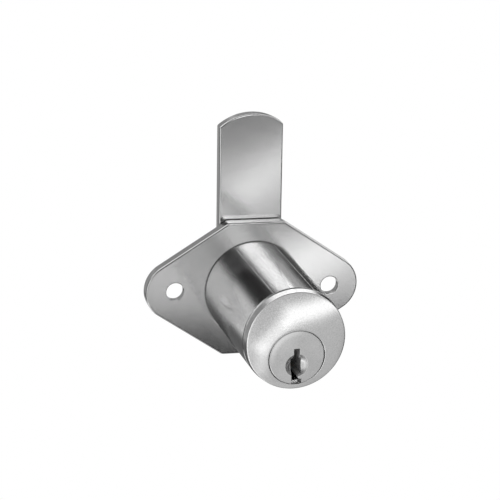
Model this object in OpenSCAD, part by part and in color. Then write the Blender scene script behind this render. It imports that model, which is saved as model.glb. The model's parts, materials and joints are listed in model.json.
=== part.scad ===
// Pin tumbler drawer lock: a barrel on a diamond screw plate, with a quarter-turn cam behind it.
// Millimetres. X runs across the plate, -Y points out of the drawer front, +Z is the cam's way up.
// The origin is on the barrel's axis at the plate's mounting face.

/* [Screw plate] */
// Distance between the two screw holes
hole_spacing = 37.3; // [35:0.1:44]
// Diameter of the screw holes
screw_hole_d = 4.2; // [3:0.1:5]
// Width of the countersink round each hole, at the plate's back
sink_w = 1; // [0.6:0.1:1.6]
// Radius of the rounded ears
ear_r = 6.9; // [5:0.1:9]
// Height of the plate over its flats
plate_h = 32.2; // [28:0.1:38]
// Width of the flats, measured to the sharp corners
flat_w = 14.7; // [9:0.1:18]
// Radius of the corners of the flats
flat_corner_r = 1.8; // [1:0.1:3]
// Thickness of the plate
plate_t = 2.6; // [2:0.1:4]
// Bevel round the plate and the cam
edge_bevel = 0.3; // [0.1:0.05:0.5]
// Depth of the counterbore that the barrel's shoulder sits in
counterbore_l = 0.4; // [0.2:0.1:0.8]

/* [Barrel] */
// Diameter of the barrel
barrel_d = 23.1; // [22:0.1:26]
// Length of the barrel, from the plate to its bevelled front end
barrel_l = 31.4; // [28:0.1:40]
// Bevel at the barrel's front end
barrel_bevel = 0.35; // [0.2:0.05:0.6]
// Width of the shoulder, from the barrel's side to the spigot that is staked into the plate
shoulder_w = 1.75; // [1.5:0.05:2]
// Width of the bevel at the barrel's base, inside the plate's counterbore
base_bevel = 0.2; // [0.1:0.05:0.4]
// Length of the staked rim, which fills the bevel behind the plate's hole
stake_l = 0.5; // [0.3:0.1:0.8]
// Degrees that the lock's works lean from the plate's upright
works_lean = 2.6; // [0:0.1:4]
// Thickness of the barrel's wall below the plug's head
plug_wall = 1.5; // [1.3:0.05:1.9]
// Thickness of the wall between the plug's bore and the stop recess
web_t = 3.8; // [2.5:0.1:5]
// Depth of the stop recess in the barrel's back
recess_l = 1.2; // [0.8:0.1:1.6]

/* [Chamber cover] */
// Width of the strip that closes the pin chambers
cover_w = 9.2; // [6:0.1:10]
// Thickness of the strip at its middle
cover_t = 1.55; // [1.3:0.05:2]
// Radius of the groove along each seam
seam_r = 0.15; // [0.1:0.01:0.2]

/* [Face cap] */
// Width of the gap between the barrel and the cap
cap_gap = 0.35; // [0.2:0.05:0.6]
// Length of the cap's straight band
cap_band = 1.75; // [1.2:0.05:2.5]
// Thickness of the band at its back
band_wall = 0.77; // [0.6:0.01:0.9]
// How far the band tapers in, on each side
band_taper = 0.25; // [0.1:0.05:0.4]
// Radius of the domed front
dome_r = 45; // [35:1:80]
// Thickness of the dome
cap_wall = 0.6; // [0.5:0.05:0.7]
// Rounding where the band meets the dome
cap_edge = 0.2; // [0.1:0.05:0.3]

/* [Plug] */
// Diameter of the plug's head, as seen from the front
plug_d = 12.7; // [12:0.1:13.4]
// How far the plug's face stands in front of the cap's edge
plug_proud = 0.8; // [0.4:0.05:1.2]
// Length of the plug's head
head_l = 2; // [1.8:0.1:2.4]
// How far the head stands out from the plug's body
head_step = 0.35; // [0.25:0.05:0.5]
// How far the body stands out from the journal behind it
tail_step = 1.4; // [1:0.1:1.8]
// Width of the tail across its two flats
tail_flats = 6.8; // [6.2:0.1:7.6]
// Bevel round the plug's face
plug_bevel = 0.3; // [0.1:0.05:0.4]

/* [Keyway] */
// Diameter of the round recess that guides the key
recess_d = 5.2; // [4:0.1:6]
// Radius of the ball that cuts the recess
recess_ball_r = 3.4; // [3.1:0.1:5]
// Height of the recess's centre, from the plug's axis
recess_z = -1.85; // [-2.2:0.05:-1.4]
// Width of the narrow slot above
slot_w = 1.3; // [1:0.05:1.6]
// Height of the narrow slot's top, from the plug's axis
slot_top = 2.05; // [1.6:0.05:2.4]
// Width of the wide slot below
keyway_w = 2.3; // [2:0.05:2.6]
// Height at which the slot widens, from the plug's axis
keyway_step = -0.4; // [-1:0.1:0.4]
// Height of the ward's middle, from the plug's axis
ward_z = -4.5; // [-4.9:0.05:-4]
// How far the ward reaches into the slot from the right
ward_w = 0.9; // [0.5:0.05:1.1]
// Height of the ward
ward_h = 1.2; // [0.8:0.1:1.5]

/* [Pin stacks] */
// Number of pin stacks
pins = 5; // [4:1:5]
// Diameter of the pins
pin_d = 2.9; // [2.5:0.1:3]
// Distance from the plug's face to the first pin
first_pin = 5.4; // [4.8:0.1:6]
// Distance from pin to pin
pin_pitch = 3.96; // [3.6:0.02:4.1]
// Length of each key pin, from the front
key_pin_l = [5.2, 6.6, 5.8, 7.2, 6.2];
// Length of each spring in its chamber
spring_l = 4; // [3.4:0.1:4.8]
// Depth of the chambers below the plug's axis
chamber_z = 3; // [2.4:0.1:3.4]
// Wire diameter of the springs
wire_d = 0.3; // [0.2:0.02:0.34]
// Clearance round each spring in its chamber
spring_gap = 0.25; // [0.1:0.05:0.35]
// Turns of each spring
spring_turns = 7; // [5:1:8]

/* [Cam and fixings] */
// Width of the cam
cam_w = 15.1; // [12:0.1:16]
// Length of the cam, from the plug's axis to its tip
cam_l = 44.9; // [30:0.1:60]
// Radius of the arched tip
tip_r = 11.9; // [9:0.1:20]
// Rounding of the tip's two corners
tip_corner_r = 0.5; // [0.2:0.1:1.5]
// Thickness of the cam
cam_t = 2.4; // [1.5:0.1:3]
// Gap between the plate and the cam
cam_gap = 0.4; // [0.3:0.05:1]
// How far the stop washer laps over the journal's step
washer_lip = 0.55; // [0.4:0.05:0.7]
// How far the stop washer's lug stands out
lug_l = 2.05; // [1.4:0.05:2.3]
// Half of the lug's angle
lug_half = 18; // [12:1:24]
// Angle that the stop lets the plug turn through
turn = 90; // [60:5:120]
// Diameter of the lock washer
lock_d = 11.6; // [10:0.1:13]
// Thickness of the lock washer
lock_t = 0.7; // [0.5:0.1:1]
// Number of teeth round the lock washer
lock_teeth = 10; // [8:1:14]
// Diameter of the screw's thread
screw_d = 4; // [3.5:0.1:4.6]
// Length of the screw, below its head
screw_l = 9; // [7:0.5:10]
// Diameter of the screw's head
head_d = 8.4; // [7.5:0.1:9]
// Height of the screw's head
head_h = 2.4; // [2:0.1:3]
// Width of the screw's slot
driver_w = 1.2; // [0.8:0.1:1.5]

/* [Fits] */
// Clearance round everything that turns or slides
run = 0.05; // [0.03:0.01:0.08]
// Clearance between pieces that are seated for good
seat = 0.03; // [0.02:0.01:0.05]
// Clearance between the plug's head and the cap
ring = 0.12; // [0.1:0.01:0.2]
// Gap round the barrel in the plate's counterbore
base_gap = 0.15; // [0.05:0.05:0.25]
// Degrees between the lug and its stops
stop_play = 2; // [1:0.5:4]

/* [Hidden] */
eps = 0.01;
round_fn = 96;
barrel_r = barrel_d / 2;
spigot_r = barrel_r - shoulder_w;
cap_r = barrel_r - band_wall;
cap_front_r = barrel_r - band_taper;
nose_r = cap_r - seat;
cover_seat = barrel_r - cover_t;
plug_r = plug_d / 2;
body_r = plug_r - head_step;
journal_r = body_r - tail_step;
// the plug's axis lies this far below the barrel's
plug_drop = barrel_r - plug_wall - plug_r;
washer_r = journal_r + washer_lip;
lug_r = washer_r + lug_l;
pin_r = pin_d / 2;
sink_d = screw_hole_d + 2 * sink_w;
shoulder_y = -barrel_l;
cap_back_y = shoulder_y - cap_gap;
cap_edge_y = cap_back_y - cap_band;
face_y = cap_edge_y - plug_proud;
head_back_y = face_y + head_l;
recess_y = plate_t - recess_l;
floor_y = recess_y - web_t;
cam_y = plate_t + cam_gap;
lock_y = cam_y + cam_t;
screw_head_y = lock_y + lock_t;
// the tail ends short of the cam's back, so that the screw clamps the cam
tail_y = lock_y - 0.15;
// the dome is part of a ball whose rim lies on the cap's front edge
dome_y = cap_edge_y + sqrt(pow(dome_r, 2) - pow(cap_front_r, 2));
// the driver pins end here, just clear of the turning plug
shear_z = body_r + run;
chamber_top = cover_seat + plug_drop;
spring_z = chamber_top - seat - spring_l;
driver_l = spring_z - seat - shear_z;
key_pin_top = sqrt(pow(body_r, 2) - pow(pin_r, 2)) - run / 2;
keyway_l = first_pin + (pins - 1) * pin_pitch + 3;
spring_sides = 6;
spring_steps = 14;

function pin_y(i) = face_y + first_pin + i * pin_pitch;
// points [radius, place] along a ball's front, from radius r0 to radius r1
function dome(r0, r1, ball_r, n) =
    [for (i = [0:n]) let(r = r0 + (r1 - r0) * i / n) [r, dome_y - sqrt(ball_r * ball_r - r * r)]];

// Frames: the works lean about the barrel's axis, and the plug's axis lies below it.
module works() rotate([0, -works_lean, 0]) children();
module at_plug() works() translate([0, 0, -plug_drop]) children();

// A cylinder or cone along Y, from y0 to y1
module rod(r0, y0, y1, r1 = -1)
    translate([0, y0, 0]) rotate([-90, 0, 0])
        cylinder(r1 = r0, r2 = r1 < 0 ? r0 : r1, h = y1 - y0, $fn = round_fn);
// A solid turned about Y from [radius, place] points
module turned(points) rotate([-90, 0, 0]) rotate_extrude($fn = round_fn) polygon(points);
// A flat outline, drawn in X and Z, between y0 and y1
module plate(y0, y1) translate([0, y1, 0]) rotate([90, 0, 0]) linear_extrude(y1 - y0) children();
// A bevelled plate from an outline that has no hollows
module bevelled_plate(y0, y1) {
    hull() {
        plate(y0, y1) offset(delta = -edge_bevel) children();
        plate(y0 + edge_bevel, y1 - edge_bevel) children();
    }
}
// An upright cylinder in the plug's frame at stack i, from z0 to z1
module upright(r, i, z0, z1) translate([0, pin_y(i), z0]) cylinder(r = r, h = z1 - z0, $fn = 48);

// Screw plate: two ears and two short flats, joined by straight slopes
module plate_outline() hull() {
    for (side = [-1, 1]) translate([side * hole_spacing / 2, 0]) circle(r = ear_r, $fn = 64);
    for (x = [-1, 1], z = [-1, 1])
        translate([x * (flat_w / 2 - flat_corner_r * 0.7), z * (plate_h / 2 - flat_corner_r)])
            circle(r = flat_corner_r, $fn = 32);
}
module flange() color([0.70, 0.71, 0.72]) difference() {
    bevelled_plate(0, plate_t) plate_outline();
    rod(barrel_r + base_gap, -eps, counterbore_l);
    rod(spigot_r + seat, -eps, plate_t + eps);
    rod(spigot_r + seat, plate_t - stake_l, plate_t, spigot_r + seat + stake_l);
    rod(spigot_r + seat + stake_l, plate_t, plate_t + eps);
    for (side = [-1, 1]) translate([side * hole_spacing / 2, 0, 0]) screw_hole();
}
module screw_hole() {
    rod(screw_hole_d / 2, -eps, plate_t + eps);
    rod(screw_hole_d / 2 + edge_bevel / 2, -eps, edge_bevel / 2, screw_hole_d / 2);
    rod(screw_hole_d / 2, plate_t - sink_w, plate_t + eps, sink_d / 2 + eps);
}

// Barrel: spigot, round body, and the nose that carries the cap
module barrel_body() turned(concat(
    [[0, plate_t], [spigot_r + stake_l, plate_t], [spigot_r, plate_t - stake_l],
     [spigot_r, counterbore_l], [barrel_r - base_bevel, counterbore_l], [barrel_r, 0],
     [barrel_r, shoulder_y + barrel_bevel],
     [barrel_r - barrel_bevel, shoulder_y], [nose_r, shoulder_y]],
    dome(nose_r, 0, dome_r - cap_wall - seat, 8)));
module stop_recess() {
    plate(recess_y, plate_t + eps) {
        circle(r = washer_r + 2 * run, $fn = round_fn);
        sector(lug_r + 2 * run, -lug_half - stop_play, turn + lug_half + stop_play);
    }
}
// A slice of a disc between two angles, measured clockwise from +Z
module sector(r, a0, a1) intersection() {
    circle(r = r, $fn = round_fn);
    polygon(concat([[0, 0]], [for (a = [a0:(a1 - a0) / 6:a1 + eps]) 2 * r * [sin(a), cos(a)]]));
}
module seam_grooves() for (side = [-1, 1])
    translate([side * cover_w / 2, 0, sqrt(pow(barrel_r, 2) - pow(cover_w / 2, 2))])
        rod(seam_r, shoulder_y - 1, 1);
module barrel() color([0.62, 0.62, 0.63]) works() difference() {
    barrel_body();
    translate([0, 0, -plug_drop]) {
        rod(plug_r + run, face_y - 2, head_back_y);
        rod(body_r + run, face_y, floor_y);
        rod(journal_r + run, face_y, plate_t);
        stop_recess();
        for (i = [0:pins - 1]) upright(pin_r + run, i, 0, chamber_top + 0.5);
    }
    translate([-cover_w / 2, shoulder_y, cover_seat])
        cube([cover_w, barrel_l + counterbore_l, barrel_r]);
    difference() {
        seam_grooves();
        rod(nose_r, shoulder_y - 2, 2);
    }
}

// Strip let into the barrel's top, which closes the chambers
module chamber_cover() color([0.66, 0.66, 0.67]) works() difference() {
    intersection() {
        barrel_body();
        translate([seat - cover_w / 2, shoulder_y, cover_seat + seat])
            cube([cover_w - 2 * seat, barrel_l + counterbore_l - seat, barrel_r]);
    }
    seam_grooves();
}

// Domed cap, pressed over the nose
module face_cap() color([0.78, 0.78, 0.79]) works() difference() {
    turned(concat(
        [[cap_r, cap_back_y], [barrel_r, cap_back_y],
         [cap_front_r, cap_edge_y + cap_edge]],
        dome(cap_front_r - cap_edge, 0, dome_r, 14),
        dome(0, cap_r, dome_r - cap_wall, 10)));
    translate([0, 0, -plug_drop]) rod(plug_r + ring, face_y - 2, cap_back_y);
}

// Plug: head, body, journal and a tail with two flats, all in one turned piece
module plug_body() {
    turned([[0, face_y], [plug_r - plug_bevel, face_y], [plug_r, face_y + plug_bevel],
        [plug_r, head_back_y - run], [body_r, head_back_y - run], [body_r, floor_y - run],
        [journal_r, floor_y - run], [journal_r, recess_y + run], [0, recess_y + run]]);
    plate(recess_y, tail_y) tail_outline(0);
}
module tail_outline(gap) intersection() {
    circle(r = journal_r + gap, $fn = round_fn);
    square([tail_flats + 2 * gap, journal_r * 4], center = true);
}
module keyway() {
    plate(face_y - 1, face_y + keyway_l) difference() {
        union() {
            translate([-slot_w / 2, keyway_step - 1]) square([slot_w, slot_top - keyway_step + 1]);
            translate([-keyway_w / 2, -plug_r - 1]) square([keyway_w, plug_r + 1 + keyway_step]);
        }
        translate([keyway_w / 2 - ward_w + ward_h / 2, ward_z]) {
            circle(r = ward_h / 2, $fn = 24);
            translate([0, -ward_h / 2]) square([keyway_w, ward_h]);
        }
    }
    ball_out = sqrt(pow(recess_ball_r, 2) - pow(recess_d / 2, 2));
    translate([0, face_y - ball_out, recess_z]) sphere(r = recess_ball_r, $fn = 64);
}
module plug() color([0.74, 0.74, 0.72]) at_plug() difference() {
    plug_body();
    keyway();
    for (i = [0:pins - 1]) upright(pin_r + run, i, -chamber_z, plug_r + 1);
    rod(screw_d / 2 + seat, screw_head_y - screw_l - 0.5, tail_y + eps);
}

// Pins: at rest each pair meets at the plug's surface, as the right key holds them
module key_pin(i) color([0.80, 0.66, 0.36]) at_plug() translate([0, pin_y(i), key_pin_top])
    rotate_extrude($fn = 48) polygon([[0, 0], [0, -key_pin_l[i]], [pin_r * 0.35, -key_pin_l[i]],
        [pin_r, -key_pin_l[i] + pin_r * 0.75], [pin_r, 0]]);
module driver_pin(i) color([0.80, 0.66, 0.36]) at_plug() translate([0, pin_y(i), shear_z])
    rotate_extrude($fn = 48) polygon([[0, 0], [pin_r - 0.15, 0], [pin_r, 0.15],
        [pin_r, driver_l - 0.3], [pin_r - 0.3, driver_l], [0, driver_l]]);

// Spring: a wire swept along a helix, with a flat turn at each end
spring_r = pin_r + run - spring_gap - wire_d / 2;
function spring_rise(t) =
    let(free = spring_l - 3 * wire_d, active = spring_turns - 2)
    wire_d / 2 + (t < 1 ? t * wire_d : t > spring_turns - 1 ?
        wire_d + free + (t - spring_turns + 1) * wire_d : wire_d + (t - 1) * free / active);
module pin_spring(i) color([0.72, 0.72, 0.70]) at_plug() translate([0, pin_y(i), spring_z]) {
    rings = spring_turns * spring_steps;
    points = [for (k = [0:rings], s = [0:spring_sides - 1])
        let(t = k / spring_steps, a = 360 * t, b = 360 * s / spring_sides,
            r = spring_r + wire_d / 2 * cos(b))
        [r * cos(a), r * sin(a), spring_rise(t) + wire_d / 2 * sin(b)]];
    walls = [for (k = [0:rings - 1], s = [0:spring_sides - 1])
        let(n = (s + 1) % spring_sides, o = k * spring_sides)
        [o + s, o + n, o + spring_sides + n, o + spring_sides + s]];
    first = [for (s = [spring_sides - 1:-1:0]) s];
    last = [for (s = [0:spring_sides - 1]) rings * spring_sides + s];
    polyhedron(points, concat([first], [last], walls), convexity = 10);
}

// Stop washer, driven by the tail's flats. Its lug turns between two walls of the recess.
module stop_washer() color([0.60, 0.60, 0.62]) at_plug() plate(recess_y + run, cam_y) difference() {
    union() {
        circle(r = washer_r, $fn = round_fn);
        sector(lug_r, -lug_half, lug_half);
    }
    tail_outline(seat);
}

// Cam: round about the plug's axis, straight sides, arched tip
module cam_outline() hull() {
    circle(r = cam_w / 2, $fn = 64);
    offset(r = tip_corner_r, $fn = 32) offset(delta = -tip_corner_r) intersection() {
        translate([0, cam_l - tip_r]) circle(r = tip_r, $fn = 128);
        translate([-cam_w / 2, 0]) square([cam_w, cam_l + 1]);
    }
}
module cam() color([0.76, 0.76, 0.77]) at_plug() difference() {
    bevelled_plate(cam_y, lock_y) cam_outline();
    plate(cam_y - 1, lock_y + 1) tail_outline(seat);
}

module lock_washer() color([0.66, 0.66, 0.67]) at_plug() plate(lock_y, screw_head_y) difference() {
    circle(r = lock_d / 2, $fn = round_fn);
    circle(r = screw_d / 2 + 3 * seat, $fn = 48);
    for (i = [0:lock_teeth - 1]) rotate(i * 360 / lock_teeth)
        translate([lock_d / 2, 0]) circle(r = lock_d / lock_teeth * 0.62, $fn = 32);
}

// Pan-head screw: a domed edge, a slot, and a plain shank in the tapped tail
module cam_screw() color([0.64, 0.64, 0.66]) at_plug() difference() {
    turned(concat(
        [[0, screw_head_y - screw_l], [screw_d / 2 - 0.4, screw_head_y - screw_l],
         [screw_d / 2, screw_head_y - screw_l + 0.4], [screw_d / 2, screw_head_y],
         [head_d / 2, screw_head_y]],
        [for (a = [0:15:90]) [head_d / 2 - head_h * 0.7 * (1 - cos(a)),
            screw_head_y + head_h * (0.4 + 0.6 * sin(a))]],
        [[0, screw_head_y + head_h]]));
    translate([-head_d, screw_head_y + head_h * 0.5, -driver_w / 2])
        cube([2 * head_d, head_h, driver_w]);
}

flange();
barrel();
chamber_cover();
face_cap();
plug();
stop_washer();
cam();
lock_washer();
cam_screw();
for (i = [1:pins]) key_pin(i - 1);
for (i = [1:pins]) driver_pin(i - 1);
for (i = [1:pins]) pin_spring(i - 1);
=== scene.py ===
import json
import math

import bmesh
import bpy
import numpy as np
from mathutils import Matrix, Vector
from mathutils.geometry import delaunay_2d_cdt


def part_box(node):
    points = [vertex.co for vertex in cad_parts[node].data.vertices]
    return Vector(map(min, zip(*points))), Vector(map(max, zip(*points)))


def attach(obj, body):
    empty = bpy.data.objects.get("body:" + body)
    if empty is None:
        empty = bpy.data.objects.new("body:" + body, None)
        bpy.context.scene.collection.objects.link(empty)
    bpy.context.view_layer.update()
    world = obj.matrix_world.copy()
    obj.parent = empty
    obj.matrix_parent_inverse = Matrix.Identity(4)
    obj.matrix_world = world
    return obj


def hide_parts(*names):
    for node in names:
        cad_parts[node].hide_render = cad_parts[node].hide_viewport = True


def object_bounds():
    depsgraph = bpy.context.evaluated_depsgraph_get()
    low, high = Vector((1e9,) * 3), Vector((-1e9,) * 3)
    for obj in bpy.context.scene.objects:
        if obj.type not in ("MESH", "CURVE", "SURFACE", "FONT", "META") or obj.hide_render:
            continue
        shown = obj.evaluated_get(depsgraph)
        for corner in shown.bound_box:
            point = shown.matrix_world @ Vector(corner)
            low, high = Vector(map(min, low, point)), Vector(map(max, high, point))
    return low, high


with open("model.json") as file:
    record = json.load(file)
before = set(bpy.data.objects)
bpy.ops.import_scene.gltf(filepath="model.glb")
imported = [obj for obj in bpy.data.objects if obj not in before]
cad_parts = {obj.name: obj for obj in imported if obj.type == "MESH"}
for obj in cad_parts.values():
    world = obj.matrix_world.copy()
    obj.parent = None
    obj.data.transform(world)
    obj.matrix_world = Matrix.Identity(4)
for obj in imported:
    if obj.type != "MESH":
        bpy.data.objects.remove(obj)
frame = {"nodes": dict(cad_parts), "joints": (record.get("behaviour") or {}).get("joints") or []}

# Drawer lock: fine shapes, finishes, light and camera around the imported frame.
# Shapes are worked out in millimetres and written in metres.
cadLow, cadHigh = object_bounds()
print("frame loaded, box", [round(v * 1000, 2) for v in (*cadLow, *cadHigh)])


def boxOf(node):
    # a node's lowest and highest corner, in millimetres
    low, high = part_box(node)
    return np.array(low) * 1000, np.array(high) * 1000


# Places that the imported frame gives
plateLow, plateHigh = boxOf("flange")
barrelBack = boxOf("barrel")[1][1]
capLow, capHigh = boxOf("face_cap")
plugLow, plugHigh = boxOf("plug")
camLow, camHigh = boxOf("cam")
turnJoint = next(j for j in frame["joints"] if j["name"] == "plug_turn")
axisX, _, axisZ = [v * 1000 for v in turnJoint["pos_m"]]
plugDrop = math.hypot(axisX, axisZ)
lean = math.atan2(axisX, -axisZ)
barrelRadius = (capHigh[0] - capLow[0]) / 2
print("plug axis lies", round(plugDrop, 3), "mm low and leans", round(math.degrees(lean), 2), "degrees")


# Numbers that several pieces share, in millimetres
fits = {
    "seat": 0.03, "run": 0.05, "ring": 0.12,    # clearances: seated, running, and round the plug's head
    "shoulderY": -31.4, "domeRadius": 45.0, "capEdgeY": -33.5, "capFrontRadius": 11.3, "capWall": 0.6,
    "plugRadius": 6.35, "bodyRadius": 6.0, "journalRadius": 4.6, "floorY": -2.4, "recessY": 1.4,
    "noseRadius": 10.75, "spigotRadius": 9.8, "stake": 0.5, "counterboreDepth": 0.4,
    "coverSeat": 10.0, "coverHalf": 4.6,
}
domeCentreY = fits["capEdgeY"] + math.sqrt(fits["domeRadius"] ** 2 - fits["capFrontRadius"] ** 2)
seamAngle = math.asin(fits["coverHalf"] / barrelRadius)


# Shape tools. Points are arrays of X, Y, Z; faces are arrays of point numbers.
merging = {"apart": 3e-7, "sliver": 1e-8}    # metres: points nearer than this become one


def grid(rows, cols, closeRows=False, closeCols=False):
    # joins each point (i, j) of a grid to (i + 1, j + 1), round the end where the grid closes
    i = np.arange(rows if closeRows else rows - 1)
    j = np.arange(cols if closeCols else cols - 1)
    i, j = (a.ravel() for a in np.meshgrid(i, j, indexing="ij"))
    ni, nj = (i + 1) % rows, (j + 1) % cols
    return np.stack([i * cols + j, i * cols + nj, ni * cols + nj, ni * cols + j], 1)


def rounded(corners, radii, steps=6):
    # a line through corners, where each corner becomes an arc of its radius, tangent to both sides
    corners = [np.array(c, float) for c in corners]
    line = [corners[0]]
    for before, here, after, radius in zip(corners, corners[1:], corners[2:], radii[1:-1]):
        if radius <= 0:
            line.append(here)
            continue
        a = (before - here) / np.linalg.norm(before - here)
        b = (after - here) / np.linalg.norm(after - here)
        half = math.acos(np.clip(a @ b, -1, 1)) / 2
        reach = radius / math.tan(half)
        middle = here + (a + b) / np.linalg.norm(a + b) * radius / math.sin(half)
        start, end = here + a * reach - middle, here + b * reach - middle
        sweep = math.atan2(start[0] * end[1] - start[1] * end[0], start @ end)
        for t in np.linspace(0, sweep, steps + 1):
            turn = np.array([[math.cos(t), -math.sin(t)], [math.sin(t), math.cos(t)]])
            line.append(middle + turn @ start)
    line.append(corners[-1])
    return np.array(line)


def turned(profile, angles):
    # point (i, j) = radius i from the axis along Y, at place i, at angle j clockwise from +Z
    radius, place = profile[:, 0, None], profile[:, 1, None]
    flat = np.zeros_like(angles)[None]
    return np.stack([radius * np.sin(angles), place + flat, radius * np.cos(angles)], 2).reshape(-1, 3)


def leaning(points, drop=0.0):
    # from the works' own upright frame, with its origin drop below the barrel's axis, to the row frame
    x, y, z = points[:, 0], points[:, 1], points[:, 2] - drop
    c, s = math.cos(lean), math.sin(lean)
    return np.stack([c * x - s * z, y, s * x + c * z], 1)


def aboutPlug(shells):
    # shells worked out about the plug's own upright axis, set in the row frame
    return [(leaning(points, plugDrop), faces) for points, faces in shells]


def tangentOutline(centres, radii, steps, inset=0.0):
    # the tight band round several circles, in order against the clock: arc k runs between the two
    # directions in which the band's straight sides leave circle k, and is inset by less radius
    centres = np.array(centres, float)
    radii = np.array(radii, float)
    count = len(radii)
    leave = []
    for k in range(count):
        step = centres[(k + 1) % count] - centres[k]
        span = np.linalg.norm(step)
        lag = math.acos(np.clip((radii[k] - radii[(k + 1) % count]) / span, -1, 1))
        leave.append(math.atan2(step[1], step[0]) - lag)
    arcs = []
    for k in range(count):
        start, end = leave[k - 1], leave[k]
        end += 2 * math.pi * math.ceil((start - end) / (2 * math.pi) - 1e-9)
        t = np.linspace(start, end, steps[k] + 1)
        arcs.append(centres[k] + (radii[k] - inset) * np.stack([np.cos(t), np.sin(t)], 1))
    return np.concatenate(arcs)


def circle(centre, radius, steps):
    # point i = centre + radius * (cos t, sin t), at even angles t
    t = np.linspace(0, 2 * math.pi, steps, endpoint=False)
    return np.array(centre) + radius * np.stack([np.cos(t), np.sin(t)], 1)


def insideLoop(points, loop):
    # a point is inside where a ray from it crosses the loop an odd number of times
    x, z = points[:, 0, None], points[:, 1, None]
    ax, az = loop[:, 0], loop[:, 1]
    bx, bz = np.roll(ax, -1), np.roll(az, -1)
    crossing = (az > z) != (bz > z)
    rise = np.where(bz == az, 1e-12, bz - az)
    return (crossing & (x < (bx - ax) * (z - az) / rise + ax)).sum(1) % 2 == 1


def distanceTo(points, loop, closed=True):
    # shortest distance from each point to the loop's sides
    a, b = loop, np.roll(loop, -1, 0)
    if not closed:
        a, b = a[:-1], b[:-1]
    side = b - a
    along = ((points[:, None] - a) * side).sum(2) / np.maximum((side ** 2).sum(1), 1e-12)
    nearest = a + np.clip(along, 0, 1)[..., None] * side
    return np.linalg.norm(points[:, None] - nearest, axis=2).min(1)


def filled(loops, extra=None):
    # triangles over the area inside the first loop and outside the others, through the extra points
    points = np.concatenate(loops + ([extra] if extra is not None and len(extra) else []))
    edges, start = [], 0
    for loop in loops:
        n = len(loop)
        edges += [(start + i, start + (i + 1) % n) for i in range(n)]
        start += n
    made = delaunay_2d_cdt([Vector(p) for p in points.tolist()], edges, [], 0, 1e-6, True)
    number = np.array([ids[0] for ids in made[3]])
    faces = number[np.array(made[2])]
    middle = points[faces].mean(1)
    keep = insideLoop(middle, loops[0])
    for hole in loops[1:]:
        keep &= ~insideLoop(middle, hole)
    return points, faces[keep]


def atY(flat, y):
    # each flat point (x, z) becomes (x, y, z)
    return np.stack([flat[:, 0], np.broadcast_to(y, len(flat)), flat[:, 1]], 1)


def swept(outline, profile):
    # ring i is the outline at inset profile[i][0], set at place profile[i][1]
    rings = [atY(outline(inset), y) for inset, y in profile]
    return np.concatenate(rings), grid(len(rings), len(rings[0]), closeCols=True)


def cornerDrop(distance, radius):
    # how far a rounded edge has fallen at this distance from it: a quarter circle, then flat
    inside = np.clip(radius - distance, 0, radius)
    return radius - np.sqrt(radius ** 2 - inside ** 2)


def closedMesh(name, shells):
    # one mesh from (points, faces) shells, closed along their shared rims, with its faces turned outwards
    points, faces, start = [], [], 0
    for shellPoints, shellFaces in shells:
        points.append(shellPoints)
        faces.append((shellFaces.shape[1], shellFaces + start))
        start += len(shellPoints)
    points = np.concatenate(points) / 1000
    corners = np.concatenate([f.ravel() for _, f in faces]).astype(np.int32)
    sides = np.concatenate([np.full(len(f), n) for n, f in faces])
    starts = np.concatenate([[0], np.cumsum(sides)[:-1]]).astype(np.int32)
    mesh = bpy.data.meshes.new(name)
    mesh.vertices.add(len(points))
    mesh.vertices.foreach_set("co", points.astype(np.float32).ravel())
    mesh.loops.add(len(corners))
    mesh.loops.foreach_set("vertex_index", corners)
    mesh.polygons.add(len(sides))
    mesh.polygons.foreach_set("loop_start", starts)
    mesh.update(calc_edges=True)
    mesh.validate()
    work = bmesh.new()
    work.from_mesh(mesh)
    bmesh.ops.remove_doubles(work, verts=work.verts, dist=merging["apart"])
    bmesh.ops.dissolve_degenerate(work, edges=work.edges, dist=merging["sliver"])
    bmesh.ops.recalc_face_normals(work, faces=work.faces)
    work.to_mesh(mesh)
    work.free()
    return mesh


def countOpen(mesh):
    work = bmesh.new()
    work.from_mesh(mesh)
    openEdges = sum(1 for e in work.edges if not e.is_manifold)
    work.free()
    return openEdges


def drilled(mesh, bores):
    # the mesh less the closed shells of its bores
    whole = bpy.data.objects.new("whole", mesh)
    tool = bpy.data.objects.new("bores", closedMesh("bores", bores))
    for part in (whole, tool):
        bpy.context.scene.collection.objects.link(part)
    cut = whole.modifiers.new("bores", "BOOLEAN")
    cut.operation, cut.solver, cut.object = "DIFFERENCE", "EXACT", tool
    ready = whole.evaluated_get(bpy.context.evaluated_depsgraph_get())
    done = bpy.data.meshes.new_from_object(ready)
    for part in (whole, tool):
        bpy.data.objects.remove(part)
    done.name = mesh.name
    return done


def makePiece(name, shells, body, node, finish, sharpAbove=40, bores=None):
    # a closed mesh, drilled where it has bores, smooth where it curves
    mesh = closedMesh(name, shells)
    if bores:
        mesh = drilled(mesh, bores)
    openEdges = countOpen(mesh)
    mesh.shade_smooth()
    mesh.set_sharp_from_angle(angle=math.radians(sharpAbove))
    piece = bpy.data.objects.new(name, mesh)
    bpy.context.scene.collection.objects.link(piece)
    mesh.materials.append(materials[finish])
    weighted = piece.modifiers.new("evenNormals", "WEIGHTED_NORMAL")
    weighted.keep_sharp = True
    weighted.weight = 50
    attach(piece, body)
    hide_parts(node)
    print("made", name, len(mesh.polygons), "faces,", openEdges, "open edges")
    return piece


# Material tools
def hexColour(code):
    # sRGB hex to linear, by the sRGB curve
    channels = [int(code[i:i + 2], 16) / 255 for i in (1, 3, 5)]
    return [c / 12.92 if c <= 0.04045 else ((c + 0.055) / 1.055) ** 2.4 for c in channels] + [1.0]


def addNode(tree, kind, settings=None, inputs=None):
    # a node with its own settings, and each input set to a value or linked to another node's output
    node = tree.nodes.new(kind)
    for key, value in (settings or {}).items():
        setattr(node, key, value)
    for key, value in (inputs or {}).items():
        socket = node.inputs[key]
        if isinstance(value, bpy.types.NodeSocket):
            tree.links.new(value, socket)
        else:
            socket.default_value = value
    return node


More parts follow.
